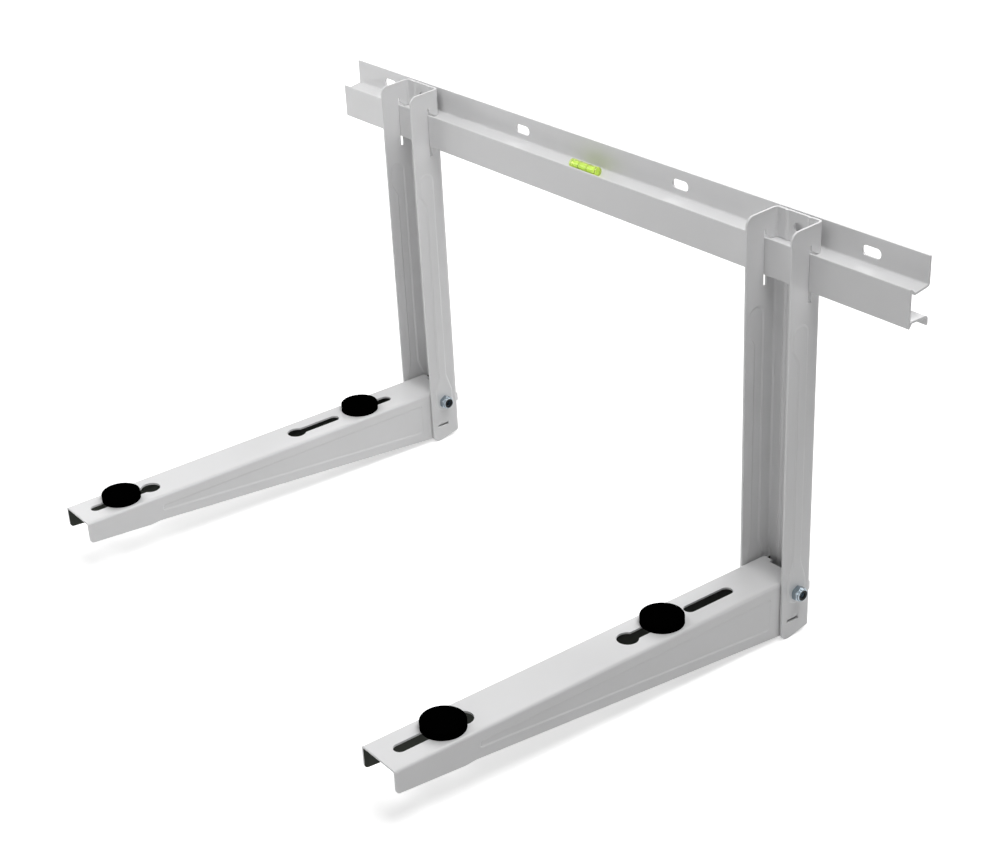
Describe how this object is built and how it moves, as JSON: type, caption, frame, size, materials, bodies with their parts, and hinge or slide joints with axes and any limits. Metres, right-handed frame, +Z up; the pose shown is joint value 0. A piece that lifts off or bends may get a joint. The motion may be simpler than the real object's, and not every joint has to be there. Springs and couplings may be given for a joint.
{
  "type": "air conditioner outdoor unit bracket",
  "caption": "Wall bracket of folded sheet steel: a cross rail with a level, hooked uprights and bolted arms with rubber pads that carry an outdoor unit.",
  "frame": {"origin": "on the wall plane, in the middle of the rail's row of four wall slots", "axes": "+X along the rail to the right as seen from the room side, +Y into the wall, +Z up"},
  "size_m": [0.8, 0.469, 0.3989],
  "materials": {
    "cross_rail": "glossy grey-white powder coat",
    "upright_left": "glossy grey-white powder coat",
    "upright_right": "glossy grey-white powder coat",
    "arm_left": "glossy grey-white powder coat",
    "arm_right": "glossy grey-white powder coat",
    "level_vial": "clear tinted acrylic",
    "level_liquid": "fluorescent yellow-green liquid",
    "bolt_left": "bright zinc plate",
    "bolt_right": "bright zinc plate",
    "lock_ring_left": "black nylon",
    "lock_ring_right": "black nylon",
    "nut_left": "bright zinc plate",
    "nut_right": "bright zinc plate",
    "pad_left_front": "matt black rubber",
    "pad_left_rear": "matt black rubber",
    "pad_right_front": "matt black rubber",
    "pad_right_rear": "matt black rubber"
  },
  "bodies": {
    "root": {"cross_rail": "cross_rail", "upright_left": "upright_left", "upright_right": "upright_right", "arm_left": "arm_left", "arm_right": "arm_right", "level_vial": "level_vial", "level_liquid": "level_liquid", "bolt_left": "bolt_left", "bolt_right": "bolt_right", "lock_ring_left": "lock_ring_left", "lock_ring_right": "lock_ring_right", "nut_left": "nut_left", "nut_right": "nut_right", "pad_left_front": "pad_left_front", "pad_left_rear": "pad_left_rear", "pad_right_front": "pad_right_front", "pad_right_rear": "pad_right_rear"}
  },
  "joints": []
}
